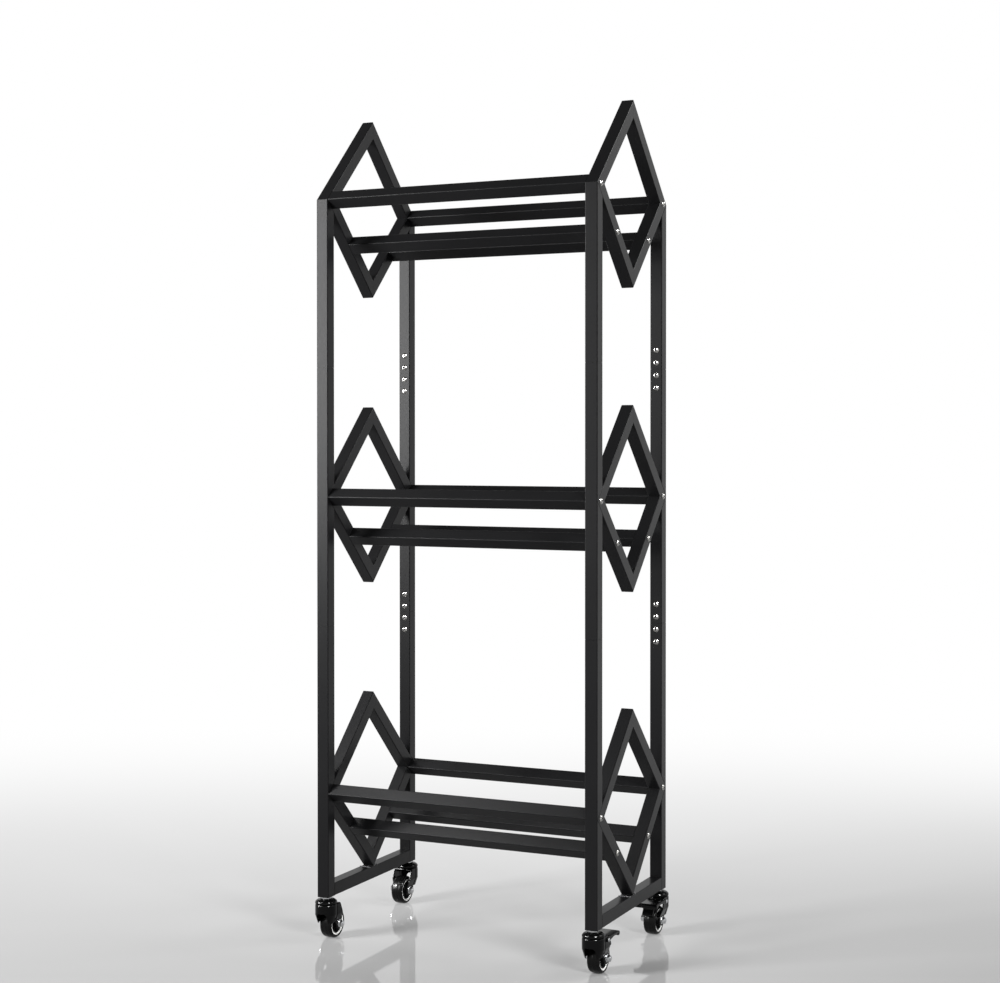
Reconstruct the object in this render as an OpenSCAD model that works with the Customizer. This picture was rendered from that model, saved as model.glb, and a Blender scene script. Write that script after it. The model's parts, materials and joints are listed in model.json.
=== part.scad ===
// Record storage rack: three tiers of square tube diamonds on four swivel casters.
// Frame: origin on the floor at the middle of the footprint, X across the records,
// Y from front to rear, Z up. All sizes in millimetres.

/* [Overall] */
// Width over the two end frames
rack_w = 522; // [400:1:700]
// Depth over the posts, which is also each diamond's corner to corner size
rack_d = 314; // [260:1:400]
// Height from one tier's diamond corners to the next tier's
tier_pitch = 510; // [480:1:620]
// Height of each seam's centre below or above the middle tier's diamond corners
seam_reach = 222; // [200:1:230]
// Gap left open at a seam between two post modules
seam_gap = 0.4; // [0.1:0.1:1]

/* [Tube] */
// Outside size of the square tube
tube = 22; // [18:1:30]
// Wall of the square tube
tube_wall = 1.2; // [1:0.1:2]
// Outside corner radius of the square tube
tube_corner = 1.5; // [0.5:0.1:2]
// Gap left at each mitre of a diamond for its weld
mitre_gap = 0.1; // [0.05:0.05:0.3]
// Clearance of a plug or sleeve inside a tube, each side
plug_fit = 0.1; // [0.05:0.05:0.3]

/* [Fasteners] */
// Thread diameter of the button head screws
screw_d = 6; // [4:0.5:8]
// Diameter of a button head
screw_head_d = 10.5; // [9:0.1:12]
// Height of a button head
screw_head_h = 3.3; // [2.5:0.1:4]
// Size across the flats of the hexagon socket
socket_af = 4; // [3:0.5:5]
// Depth of the hexagon socket
socket_depth = 2; // [1:0.1:2.5]
// Radial clearance of a screw in its hole
screw_fit = 0.25; // [0.1:0.05:0.5]
// Distance between neighbouring seam screws
seam_screw_pitch = 22; // [18:0.5:26]
// Length of a seam screw under its head
seam_screw_l = 10; // [8:0.5:14]
// Length of thread that a rail bolt has inside its plug
rail_bolt_grip = 15; // [10:0.5:18]
// Length of the nut plug in each rail end
rail_plug_l = 20; // [18:0.5:40]
// Length of the sleeve inside a seam
sleeve_l = 96; // [90:1:140]
// Wall of the seam sleeve
sleeve_wall = 2.5; // [2:0.1:4]

/* [Caster] */
// Height of the posts' lower ends above the floor
caster_h = 75; // [74:0.5:82]
// Diameter of the wheel
wheel_d = 50; // [46:0.5:50]
// Width of the tread
tread_w = 22; // [18:0.5:22]
// Thickness of the tread
tread_t = 5; // [4:0.5:7]
// Rounding of the tread's two shoulders
tread_round = 4; // [2:0.5:4]
// Distance from the swivel axis back to the wheel's axle
trail = 20; // [18:0.5:22]
// Diameter of the fork's crown and of the ball race over it
crown_d = 38; // [37:0.5:40]
// Wall of the pressed fork
fork_wall = 2.3; // [2:0.1:2.6]
// Width of the arch in the front of the fork, where the tread shows
arch_w = 19; // [14:0.5:20]
// Gap between the wheel's hub and each fork leg
hub_gap = 0.3; // [0.2:0.1:0.6]
// Diameter of the wheel's axle bolt
axle_d = 6; // [5:0.5:8]
// How far each end of the axle stands out of its fork leg
axle_end = 8; // [7:0.5:9]
// Size across the flats of the axle's nut and head
axle_af = 10; // [9:0.5:13]
// Diameter of the threaded stem
stem_d = 10; // [8:0.5:11]
// Length of the stem inside the post
stem_l = 26; // [20:1:30]
// Size across the flats of the stem's collar
collar_af = 17; // [15:0.5:19]
// Height of the stem's collar
collar_h = 3; // [2:0.5:4]
// Diameter of a ball in the swivel race
ball_d = 4; // [3.5:0.1:4]
// Balls in each swivel race
ball_count = 12; // [8:1:14]
// Radial clearance of a shaft in its running bore
running_fit = 0.05; // [0.02:0.01:0.1]
// Clearance between curved faces that move past each other
turning_gap = 0.3; // [0.2:0.05:0.4]

/* [Brake] */
// Distance from the swivel axis to the tip of the brake pedal
pedal_reach = 62; // [56:0.5:66]
// Thickness of the pedal's plate
pedal_plate = 2; // [1.5:0.1:2.5]
// Depth of the rolled lip at the pedal's tip
pedal_lip = 8; // [6:0.5:9]
// Angle that the pedal drops from free to locked
brake_travel = 10; // [6:0.5:11]
// Gap left between the locked shoe and the tread
brake_gap = 0.35; // [0.3:0.05:0.6]
// Thickness of the brake shoe
shoe_t = 5; // [4:0.5:6]
// Width of the brake shoe
shoe_w = 20; // [14:1:22]
// Diameter of the pin that the pedal turns on
brake_pin_d = 4; // [3:0.5:5]

/* [Hidden] */

BLACK = [0.10, 0.10, 0.105];
GLOSS = [0.05, 0.05, 0.055];
STEEL = [0.76, 0.77, 0.79];
PALE = [0.88, 0.88, 0.87];
TREAD = [0.09, 0.09, 0.09];

LEFT = -1;
RIGHT = 1;
FRONT = -1;
REAR = 1;
through = 200;

// Heights of the rack's levels above the floor
foot_z = caster_h;
bottom_level = foot_z + tube + rack_d / 2;
middle_level = bottom_level + tier_pitch;
top_level = middle_level + tier_pitch;
lower_seam = middle_level - seam_reach;
upper_seam = middle_level + seam_reach;

// The diamond: a square frame that stands on its corner
diamond_side = rack_d / sqrt(2);
rail_l = rack_w - 2 * tube;
post_x = (rack_w - tube) / 2;
post_y = (rack_d - tube) / 2;
upper_rail_y = rack_d / 2 - tube / sqrt(2);
lower_rail_y = upper_rail_y / 2;
lower_rail_drop = upper_rail_y / 2;
plug_side = tube - 2 * tube_wall - 2 * plug_fit;
screw_hole_r = screw_d / 2 + screw_fit;

// Caster, measured from the floor on the swivel axis, with the trail along +Y
wheel_r = wheel_d / 2;
axle_z = wheel_r;
crown_r = crown_d / 2;
hub_half = tread_w / 2 + 1;
leg_in = hub_half + hub_gap;
leg_out = leg_in + fork_wall;
rim_r = wheel_r - tread_t;
crown_top = caster_h - 12;
crown_plate = 3;
crown_under = crown_top - crown_plate;
hood_z = crown_under - 16;
hood_foot_z = axle_z + 5;
hood_foot_y = trail - wheel_r + 5;
hood_step = 0.1;
hollow_front_y = 2;
arch_top = hood_z + 3.5;
arch_corner = 3;
crown_edge = 1.5;
leg_front_y = 6;
leg_end_r = 10;
leg_rear_y = 24;
crown_rear_y = 17;
race_gap = 0.6;
race_low = crown_top + race_gap;
race_top = caster_h - collar_h;
ball_r = ball_d / 2;
ball_z = crown_top + ball_r - 0.2;
ball_ring_r = 13.5;
race_flat_r = 11;
race_edge_h = 2.4;
rivet_r = 7.5;
rivet_h = 2.5;
insert_l = stem_l + 4;
washer_t = 1.5;
washer_r = axle_af / sqrt(3) + 0.8;
leg_flat_z = axle_z + washer_r + 1.4;
axle_stub = 1;
pin_y = 13;
pin_z = crown_under - 3;
cheek_r = 4.2;
cheek_in = crown_r + turning_gap;
cheek_out = cheek_in + pedal_plate;
pedal_top = pin_z + cheek_r;
pedal_front_y = 24;
pin_head_h = 1.2;
shoe_from = 42;
shoe_to = 76;
shoe_arm_at = 55;
shoe_seat_y = 42;

// General helpers
module extrude_x(l) {
    rotate([90, 0, 90]) linear_extrude(l, center = true) children();
}

module extrude_y(l) {
    rotate([90, 0, 0]) linear_extrude(l, center = true) children();
}

module rounded_square(side, r) {
    inner = side - 2 * r;
    square([side, inner], center = true);
    square([inner, side], center = true);
    for (x = [-1, 1], y = [-1, 1])
        translate([x * inner / 2, y * inner / 2]) circle(r, $fn = 32);
}

module tube_section() {
    difference() {
        rounded_square(tube, tube_corner);
        square(tube - 2 * tube_wall, center = true);
    }
}

module upright_tube(l) {
    linear_extrude(l) tube_section();
}

// A button head screw along +X, its seat at the origin and its head towards -X
module button_screw(l) {
    dome_r = (pow(screw_head_d / 2, 2) + pow(screw_head_h, 2)) / (2 * screw_head_h);
    rotate([0, 90, 0]) union() {
        difference() {
            rotate([180, 0, 0]) rotate_extrude($fn = 48) intersection() {
                translate([0, screw_head_h - dome_r]) circle(dome_r, $fn = 96);
                square([screw_head_d / 2, screw_head_h]);
            }
            translate([0, 0, -screw_head_h - 1])
                cylinder(r = socket_af / sqrt(3), h = socket_depth + 1, $fn = 6);
        }
        cylinder(d = screw_d, h = l, $fn = 32);
    }
}

// End frames: the places where the rails meet one tier's diamond, as [y, drop]
rail_places = [
    [-upper_rail_y, 0],
    [-lower_rail_y, lower_rail_drop],
    [lower_rail_y, lower_rail_drop],
    [upper_rail_y, 0]
];

module diamond_block(level) {
    translate([0, 0, level]) rotate([45, 0, 0])
        cube([through, diamond_side, diamond_side], center = true);
}

module mitred_leg() {
    half = diamond_side / 2;
    intersection() {
        translate([0, half - tube / 2, -half]) upright_tube(diamond_side);
        extrude_x(2 * tube) translate([mitre_gap / sqrt(2), 0])
            polygon([[0, 0], [half, -half], [half, half]]);
    }
}

module rail_bolt_holes() {
    for (place = rail_places)
        translate([0, place[0], -place[1]]) rotate([0, 90, 0])
            cylinder(r = screw_hole_r, h = 2 * tube, center = true, $fn = 32);
}

module diamond(side, level) {
    color(BLACK) translate([side * post_x, 0, level]) for (turn = [0:3])
        difference() {
            rotate([45 + 90 * turn, 0, 0]) mitred_leg();
            rail_bolt_holes();
        }
}

// Posts: a module's post is cut away where its diamond's corner stands in it
function seam_screw_rows(seam) = [
    for (step = [-1.5, -0.5, 0.5, 1.5]) seam + step * seam_screw_pitch
];

module post_piece(side, depth_side, low, high, level) {
    translate([side * post_x, depth_side * post_y, 0]) difference() {
        translate([0, 0, low]) upright_tube(high - low);
        translate([0, -depth_side * post_y, 0]) diamond_block(level);
        for (seam = [lower_seam, upper_seam], z = seam_screw_rows(seam))
            translate([0, -depth_side * tube / 2, z]) rotate([90, 0, 0])
                cylinder(r = screw_hole_r, h = tube, center = true, $fn = 32);
    }
}

module top_post(side, depth_side) {
    color(BLACK)
        post_piece(side, depth_side, upper_seam + seam_gap / 2, top_level, top_level);
}

module middle_post(side, depth_side) {
    low = lower_seam + seam_gap / 2;
    high = upper_seam - seam_gap / 2;
    color(BLACK) {
        post_piece(side, depth_side, low, middle_level, middle_level);
        post_piece(side, depth_side, middle_level, high, middle_level);
    }
}

module bottom_post(side, depth_side) {
    high = lower_seam - seam_gap / 2;
    color(BLACK) {
        post_piece(side, depth_side, foot_z, bottom_level, bottom_level);
        post_piece(side, depth_side, bottom_level, high, bottom_level);
    }
}

module base_tube(side) {
    length = rack_d - 2 * tube;
    color(BLACK) translate([side * post_x, length / 2, foot_z + tube / 2])
        rotate([90, 0, 0]) upright_tube(length);
}

// Rails: the same tube turned on its edge between the two end frames
module rail(level, place) {
    color(BLACK) translate([-rail_l / 2, place[0], level - place[1]])
        rotate([0, 90, 0]) rotate([0, 0, 45]) upright_tube(rail_l);
}

module at_rail_ends() {
    for (side = [LEFT, RIGHT], level = [bottom_level, middle_level, top_level],
         place = rail_places)
        translate([0, place[0], level - place[1]])
            mirror([side == RIGHT ? 1 : 0, 0, 0]) children();
}

module rail_bolts() {
    color(STEEL) at_rail_ends()
        translate([-rack_w / 2, 0, 0]) button_screw(tube + rail_bolt_grip);
}

module rail_nut_plugs() {
    color(STEEL) at_rail_ends() translate([-rail_l / 2, 0, 0])
        rotate([0, 90, 0]) difference() {
            rotate([0, 0, 45]) translate([0, 0, rail_plug_l / 2])
                cube([plug_side, plug_side, rail_plug_l], center = true);
            translate([0, 0, -1])
                cylinder(r = screw_d / 2 + running_fit, h = rail_plug_l + 2, $fn = 32);
        }
}

module at_seams() {
    for (side = [LEFT, RIGHT], depth_side = [FRONT, REAR],
         seam = [lower_seam, upper_seam])
        translate([side * post_x, depth_side * post_y, seam])
            mirror([0, depth_side == REAR ? 1 : 0, 0]) children();
}

module seam_screws() {
    color(STEEL) at_seams() for (z = seam_screw_rows(0))
        translate([0, tube / 2, z]) rotate([0, 0, -90]) button_screw(seam_screw_l);
}

module seam_sleeves() {
    color(STEEL) at_seams() difference() {
        cube([plug_side, plug_side, sleeve_l], center = true);
        cube([plug_side - 2 * sleeve_wall, plug_side - 2 * sleeve_wall, sleeve_l + 2],
             center = true);
        for (z = seam_screw_rows(0)) translate([0, tube / 2, z]) rotate([90, 0, 0])
            cylinder(r = screw_d / 2 + running_fit, h = tube, center = true, $fn = 32);
    }
}

// Casters: a piece is drawn on the swivel axis with its trail along +Y, then
// placed under a post with the trail turned towards the rack's middle
module at_caster(side, depth_side) {
    translate([side * post_x, depth_side * post_y, 0])
        mirror([0, depth_side == REAR ? 1 : 0, 0]) children();
}

module at_all_casters() {
    for (side = [LEFT, RIGHT], depth_side = [FRONT, REAR])
        at_caster(side, depth_side) children();
}

module post_foot_inserts() {
    color(STEEL) at_all_casters() translate([0, 0, foot_z]) difference() {
        translate([0, 0, insert_l / 2])
            cube([plug_side, plug_side, insert_l], center = true);
        translate([0, 0, -1])
            cylinder(r = stem_d / 2 + running_fit, h = insert_l + 2, $fn = 48);
    }
}

module caster_stems() {
    color(STEEL) at_all_casters() {
        translate([0, 0, crown_under - rivet_h - turning_gap])
            cylinder(r = rivet_r, h = rivet_h, $fn = 48);
        translate([0, 0, crown_under - rivet_h]) cylinder(
            d = stem_d, h = foot_z + stem_l - crown_under + rivet_h, $fn = 48);
        translate([0, 0, race_top])
            cylinder(r = collar_af / sqrt(3), h = collar_h, $fn = 6);
    }
}

module caster_races() {
    shoulder_h = race_top - race_low - race_edge_h;
    shoulder = [
        for (a = [0:15:90])
            [race_flat_r + (crown_r - race_flat_r) * sin(a),
             race_low + race_edge_h + shoulder_h * cos(a)]
    ];
    bore_r = stem_d / 2 + running_fit;
    track = ball_r + turning_gap;
    color(GLOSS) at_all_casters() rotate_extrude($fn = 64) polygon(concat(
        [[bore_r, race_low], [bore_r, race_top]],
        shoulder,
        [[crown_r, race_low],
         [ball_ring_r + track, race_low],
         [ball_ring_r + track, ball_z + track],
         [ball_ring_r - track, ball_z + track],
         [ball_ring_r - track, race_low]]));
}

module swivel_balls() {
    color(STEEL) at_all_casters() for (i = [0:ball_count - 1])
        rotate([0, 0, 360 * i / ball_count])
            translate([ball_ring_r, 0, ball_z]) sphere(ball_r, $fn = 24);
}

// The fork: a round crown, a hood that narrows over the wheel, and two flat legs.
// Called with inset 0 it is the outside, and with the wall as inset the hollow.
module fork_width(inset) {
    wide = crown_r - inset;
    narrow = leg_out - inset;
    polygon([
        [-wide + crown_edge, crown_top], [-wide, crown_top - crown_edge],
        [-wide, hood_z], [-narrow, leg_flat_z], [-narrow, -1],
        [narrow, -1], [narrow, leg_flat_z], [wide, hood_z],
        [wide, crown_top - crown_edge], [wide - crown_edge, crown_top]
    ]);
}

module hood_cone(inset, foot_drop) {
    top_r = crown_r - hood_step - inset;
    foot_r = leg_out - hood_step - inset;
    hull() {
        translate([0, 0, hood_z]) cylinder(r = top_r, h = 1, $fn = 48);
        translate([0, hood_foot_y, hood_foot_z - foot_drop])
            cylinder(r = foot_r, h = 1, $fn = 48);
    }
}

module leg_outline() {
    polygon([
        [leg_front_y, crown_top], [crown_rear_y, crown_top], [leg_rear_y, hood_z + 3],
        [trail + leg_end_r, axle_z], [trail - leg_end_r, axle_z],
        [leg_front_y + hood_foot_y, hood_foot_z], [leg_front_y, hood_z]
    ]);
    translate([trail, axle_z]) circle(leg_end_r, $fn = 64);
}

module fork_hollow() {
    translate([0, 0, hood_z - 1])
        cylinder(r = crown_r - fork_wall, h = crown_under - hood_z + 1, $fn = 64);
    hood_cone(fork_wall, 1);
    intersection() {
        extrude_y(2 * through) fork_width(fork_wall);
        extrude_x(through) polygon([
            [hollow_front_y, crown_under], [through, crown_under], [through, -1],
            [hood_foot_y + hollow_front_y, -1],
            [hood_foot_y + hollow_front_y, hood_foot_z - 2], [hollow_front_y, hood_z]
        ]);
    }
}

module hood_arch() {
    half = arch_w / 2;
    translate([0, -through / 2, 0]) extrude_y(through) polygon([
        [-half, -1], [-half, arch_top - arch_corner], [-half + arch_corner, arch_top],
        [half - arch_corner, arch_top], [half, arch_top - arch_corner], [half, -1]
    ]);
}

module fork_body() {
    difference() {
        union() {
            translate([0, 0, hood_z])
                cylinder(r = crown_r, h = crown_top - hood_z - crown_edge, $fn = 64);
            translate([0, 0, crown_top - crown_edge])
                cylinder(r1 = crown_r, r2 = crown_r - crown_edge, h = crown_edge, $fn = 64);
            hood_cone(0, 0);
            intersection() {
                extrude_y(2 * through) fork_width(0);
                extrude_x(through) leg_outline();
            }
        }
        fork_hollow();
        hood_arch();
    }
}

module fork(side, depth_side, braked) {
    color(GLOSS) at_caster(side, depth_side) difference() {
        fork_body();
        cylinder(r = stem_d / 2 + running_fit, h = through, $fn = 48);
        rotate_extrude($fn = 64) translate([ball_ring_r, ball_z])
            circle(ball_r + turning_gap, $fn = 32);
        translate([0, trail, axle_z]) rotate([0, 90, 0])
            cylinder(r = axle_d / 2 + running_fit, h = through, center = true, $fn = 48);
        if (braked) translate([0, pin_y, pin_z]) rotate([0, 90, 0]) cylinder(
            r = brake_pin_d / 2 + running_fit, h = through, center = true, $fn = 32);
    }
}

// The axle is a flanged bolt from one side and a washer and nut on the other
module axle(side, depth_side) {
    shank = leg_out + axle_end;
    hex_r = axle_af / sqrt(3);
    color(STEEL) at_caster(side, depth_side) translate([0, trail, axle_z])
        rotate([0, 90, 0]) {
            cylinder(d = axle_d, h = 2 * shank - axle_stub, center = true, $fn = 48);
            translate([0, 0, -shank]) cylinder(r = hex_r, h = axle_end, $fn = 6);
            translate([0, 0, -leg_out - washer_t])
                cylinder(r = washer_r, h = washer_t, $fn = 48);
            translate([0, 0, leg_out]) cylinder(r = washer_r, h = washer_t, $fn = 48);
            translate([0, 0, leg_out + washer_t])
                cylinder(r = hex_r, h = axle_end - washer_t - axle_stub, $fn = 6);
            translate([0, 0, leg_out])
                cylinder(d = axle_d, h = axle_end, $fn = 48);
        }
}

module revolve_x() {
    rotate([0, 90, 0]) rotate_extrude($fn = 96) children();
}

module hub(side, depth_side) {
    rim_out = rim_r - running_fit;
    rim_in = rim_r - 3;
    rim_half = tread_w / 2 - 1;
    web_half = 4;
    barrel_r = 7.5;
    bore_r = axle_d / 2 + running_fit;
    color(PALE) at_caster(side, depth_side) translate([0, trail, axle_z])
        revolve_x() polygon([
            [bore_r, -hub_half], [barrel_r, -hub_half], [barrel_r, -web_half],
            [rim_in, -web_half], [rim_in, -rim_half], [rim_out, -rim_half],
            [rim_out, rim_half], [rim_in, rim_half], [rim_in, web_half],
            [barrel_r, web_half], [barrel_r, hub_half], [bore_r, hub_half]
        ]);
}

module tyre(side, depth_side) {
    flank = wheel_r - tread_round - rim_r;
    crest = tread_w - 2 * tread_round;
    color(TREAD) at_caster(side, depth_side) translate([0, trail, axle_z])
        revolve_x() {
            translate([rim_r, -tread_w / 2]) square([flank, tread_w]);
            translate([rim_r, -crest / 2]) square([tread_t, crest]);
            for (s = [-1, 1]) intersection() {
                translate([wheel_r - tread_round, s * crest / 2])
                    circle(tread_round, $fn = 64);
                translate([rim_r, -tread_w / 2]) square([tread_t, tread_w]);
            }
        }
}

// The brake pedal: two cheeks beside the crown, a plate with a rolled lip, and a
// curved shoe drawn where it locks on the tread and then lifted by the travel
module pedal_cheek_outline() {
    translate([pin_y, pin_z]) circle(cheek_r, $fn = 48);
    polygon([
        [pin_y, pedal_top], [pedal_reach - pedal_lip / 2, pedal_top],
        [pedal_reach - pedal_lip / 2, pedal_top - pedal_lip / 2],
        [pin_y + 22, pedal_top - cheek_r], [pin_y, pin_z - cheek_r]
    ]);
}

module locked_shoe() {
    face_r = wheel_r + brake_gap;
    translate([0, trail, axle_z]) extrude_x(shoe_w) intersection() {
        difference() {
            circle(face_r + shoe_t, $fn = 96);
            circle(face_r, $fn = 96);
        }
        polygon([
            [0, 0], [through * sin(shoe_from), through * cos(shoe_from)],
            [through * sin(shoe_to), through * cos(shoe_to)]
        ]);
    }
}

module lifted() {
    translate([0, pin_y, pin_z]) rotate([brake_travel, 0, 0])
        translate([0, -pin_y, -pin_z]) children();
}

// The arm from the pedal's plate down into the back of the lifted shoe
module shoe_arm_outline() {
    back_r = wheel_r + brake_gap + shoe_t / 2;
    y = trail + back_r * sin(shoe_arm_at) - pin_y;
    z = axle_z + back_r * cos(shoe_arm_at) - pin_z;
    foot_y = pin_y + y * cos(brake_travel) - z * sin(brake_travel);
    foot_z = pin_z + y * sin(brake_travel) + z * cos(brake_travel);
    half = shoe_t / 2;
    polygon([
        [shoe_seat_y - half, pedal_top - pedal_plate / 2],
        [shoe_seat_y + half, pedal_top - pedal_plate / 2],
        [foot_y + half, foot_z], [foot_y - half, foot_z]
    ]);
}

module brake_pedal(side, depth_side) {
    plate_w = 2 * cheek_out;
    lip_r = pedal_lip / 2;
    color(GLOSS) at_caster(side, depth_side) difference() {
        union() {
            for (s = [-1, 1]) translate([s * (cheek_in + pedal_plate / 2), 0, 0])
                extrude_x(pedal_plate) pedal_cheek_outline();
            translate([-plate_w / 2, pedal_front_y, pedal_top - pedal_plate])
                cube([plate_w, pedal_reach - lip_r - pedal_front_y, pedal_plate]);
            translate([0, pedal_reach - lip_r, pedal_top - lip_r]) rotate([0, 90, 0])
                cylinder(r = lip_r, h = plate_w, center = true, $fn = 48);
            lifted() locked_shoe();
            extrude_x(shoe_w - 2) shoe_arm_outline();
        }
        translate([0, pin_y, pin_z]) rotate([0, 90, 0]) cylinder(
            r = brake_pin_d / 2 + running_fit, h = through, center = true, $fn = 32);
    }
}

module brake_pin(side, depth_side) {
    color(STEEL) at_caster(side, depth_side) translate([0, pin_y, pin_z])
        rotate([0, 90, 0]) {
            cylinder(d = brake_pin_d, h = 2 * cheek_out, center = true, $fn = 32);
            for (s = [-1, 1]) translate([0, 0, s * (cheek_out + pin_head_h / 2)])
                cylinder(r = brake_pin_d * 0.8, h = pin_head_h, center = true, $fn = 32);
        }
}

diamond(LEFT, top_level);  // left_top_diamond
diamond(LEFT, middle_level);  // left_middle_diamond
diamond(LEFT, bottom_level);  // left_bottom_diamond
diamond(RIGHT, top_level);  // right_top_diamond
diamond(RIGHT, middle_level);  // right_middle_diamond
diamond(RIGHT, bottom_level);  // right_bottom_diamond
top_post(LEFT, FRONT);  // left_front_top_post
middle_post(LEFT, FRONT);  // left_front_middle_post
bottom_post(LEFT, FRONT);  // left_front_bottom_post
top_post(LEFT, REAR);  // left_rear_top_post
middle_post(LEFT, REAR);  // left_rear_middle_post
bottom_post(LEFT, REAR);  // left_rear_bottom_post
top_post(RIGHT, FRONT);  // right_front_top_post
middle_post(RIGHT, FRONT);  // right_front_middle_post
bottom_post(RIGHT, FRONT);  // right_front_bottom_post
top_post(RIGHT, REAR);  // right_rear_top_post
middle_post(RIGHT, REAR);  // right_rear_middle_post
bottom_post(RIGHT, REAR);  // right_rear_bottom_post
base_tube(LEFT);  // left_base_tube
base_tube(RIGHT);  // right_base_tube
rail(top_level, rail_places[0]);  // top_front_upper_rail
rail(top_level, rail_places[1]);  // top_front_lower_rail
rail(top_level, rail_places[2]);  // top_rear_lower_rail
rail(top_level, rail_places[3]);  // top_rear_upper_rail
rail(middle_level, rail_places[0]);  // middle_front_upper_rail
rail(middle_level, rail_places[1]);  // middle_front_lower_rail
rail(middle_level, rail_places[2]);  // middle_rear_lower_rail
rail(middle_level, rail_places[3]);  // middle_rear_upper_rail
rail(bottom_level, rail_places[0]);  // bottom_front_upper_rail
rail(bottom_level, rail_places[1]);  // bottom_front_lower_rail
rail(bottom_level, rail_places[2]);  // bottom_rear_lower_rail
rail(bottom_level, rail_places[3]);  // bottom_rear_upper_rail
rail_bolts();
rail_nut_plugs();
seam_screws();
seam_sleeves();
post_foot_inserts();
caster_stems();
caster_races();
swivel_balls();
fork(LEFT, FRONT, false);  // front_left_fork
axle(LEFT, FRONT);  // front_left_axle
hub(LEFT, FRONT);  // front_left_hub
tyre(LEFT, FRONT);  // front_left_tyre
fork(RIGHT, FRONT, true);  // front_right_fork
axle(RIGHT, FRONT);  // front_right_axle
hub(RIGHT, FRONT);  // front_right_hub
tyre(RIGHT, FRONT);  // front_right_tyre
fork(LEFT, REAR, false);  // rear_left_fork
axle(LEFT, REAR);  // rear_left_axle
hub(LEFT, REAR);  // rear_left_hub
tyre(LEFT, REAR);  // rear_left_tyre
fork(RIGHT, REAR, true);  // rear_right_fork
axle(RIGHT, REAR);  // rear_right_axle
hub(RIGHT, REAR);  // rear_right_hub
tyre(RIGHT, REAR);  // rear_right_tyre
brake_pedal(RIGHT, FRONT);  // front_right_brake_pedal
brake_pin(RIGHT, FRONT);  // front_right_brake_pin
brake_pedal(RIGHT, REAR);  // rear_right_brake_pedal
brake_pin(RIGHT, REAR);  // rear_right_brake_pin
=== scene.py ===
"""Looks of the record storage rack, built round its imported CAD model.

The welded tube frame keeps its CAD solids and gets its powder coat. What the eye finds up
close is modelled again with the finer edges of the real pieces: the button head screws, and
the casters with their stems, ball races, pressed forks, wheels, axles and brake pedals.
Lengths in the classes are millimetres; meshes are metres.
"""
import json
import logging
import math
from collections.abc import Callable, Iterable, Sequence
from dataclasses import dataclass, field
from enum import Enum

import bmesh
import bpy
from bpy.types import Mesh, NodeSocket, NodeTree, Object
from mathutils import Matrix, Vector

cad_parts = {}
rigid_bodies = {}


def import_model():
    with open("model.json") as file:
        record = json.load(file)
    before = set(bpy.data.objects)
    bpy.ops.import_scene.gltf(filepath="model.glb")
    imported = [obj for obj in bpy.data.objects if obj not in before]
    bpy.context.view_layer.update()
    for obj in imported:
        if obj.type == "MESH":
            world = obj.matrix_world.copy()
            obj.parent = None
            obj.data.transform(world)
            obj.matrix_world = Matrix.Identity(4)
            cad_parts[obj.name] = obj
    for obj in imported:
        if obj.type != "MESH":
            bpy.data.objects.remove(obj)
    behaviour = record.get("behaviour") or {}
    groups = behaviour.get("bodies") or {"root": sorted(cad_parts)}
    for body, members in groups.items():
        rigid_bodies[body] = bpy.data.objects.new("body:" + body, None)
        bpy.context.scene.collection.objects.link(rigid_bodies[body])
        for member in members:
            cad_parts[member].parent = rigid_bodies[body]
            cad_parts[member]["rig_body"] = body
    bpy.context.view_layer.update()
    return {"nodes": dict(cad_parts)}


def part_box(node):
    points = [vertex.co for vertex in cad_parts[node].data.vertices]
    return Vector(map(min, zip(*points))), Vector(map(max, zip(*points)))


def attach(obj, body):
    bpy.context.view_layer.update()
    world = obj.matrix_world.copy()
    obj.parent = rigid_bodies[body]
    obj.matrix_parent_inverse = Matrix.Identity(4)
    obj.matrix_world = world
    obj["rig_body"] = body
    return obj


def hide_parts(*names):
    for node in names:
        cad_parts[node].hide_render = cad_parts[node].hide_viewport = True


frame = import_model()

LOG = logging.getLogger("record_rack")
MM = 0.001
TURN = 2 * math.pi

# Shading crease in degrees, distance at which points merge, and straight pieces in a fillet.
CREASE = 32.0
MERGE = 0.0001
FILLET_STEPS = 5

# Hexagon heads and nuts: top face as a share of the flats, chamfer in degrees, seat's bevel
# and countersink.
HEX_TOP = 0.95
HEX_CHAMFER = 30.0
HEX_EDGE = 0.15
HEX_SINK = 0.4

Point = tuple[float, float]
Profile = Sequence[Point]
Term = float | NodeSocket


class Side(Enum):
    """Side of the rack that a caster or a screw is on, as its sign along X."""

    LEFT = -1
    RIGHT = 1


class Row(Enum):
    """Row of the rack that a caster or a post is in, as its sign along Y."""

    FRONT = -1
    REAR = 1


def srgb(code: str) -> tuple[float, float, float, float]:
    """Turns an sRGB hex colour into linear RGBA.

    Args:
        code: The colour, such as "#2c2c2e".

    Returns:
        Red, green, blue and an alpha of 1, each from 0 to 1.
    """
    values = [int(code[i:i + 2], 16) / 255 for i in (1, 3, 5)]
    linear = [v / 12.92 if v <= 0.04045 else ((v + 0.055) / 1.055) ** 2.4 for v in values]
    return (*linear, 1.0)


def add_node(tree: NodeTree, kind: str, inputs: dict | None = None,
             **attributes: object) -> bpy.types.Node:
    """Adds a node, sets its attributes, and gives each input a value or a link.

    Args:
        tree: The node tree that gets the node.
        kind: The node's type, such as "ShaderNodeBump".
        inputs: Input names or numbers, each with a value or with the socket to link from.
        **attributes: The node's own settings.

    Returns:
        The new node.
    """
    node = tree.nodes.new(kind)
    for name, value in attributes.items():
        setattr(node, name, value)
    for key, value in (inputs or {}).items():
        if isinstance(value, NodeSocket):
            tree.links.new(value, node.inputs[key])
        else:
            node.inputs[key].default_value = value
    return node


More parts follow.
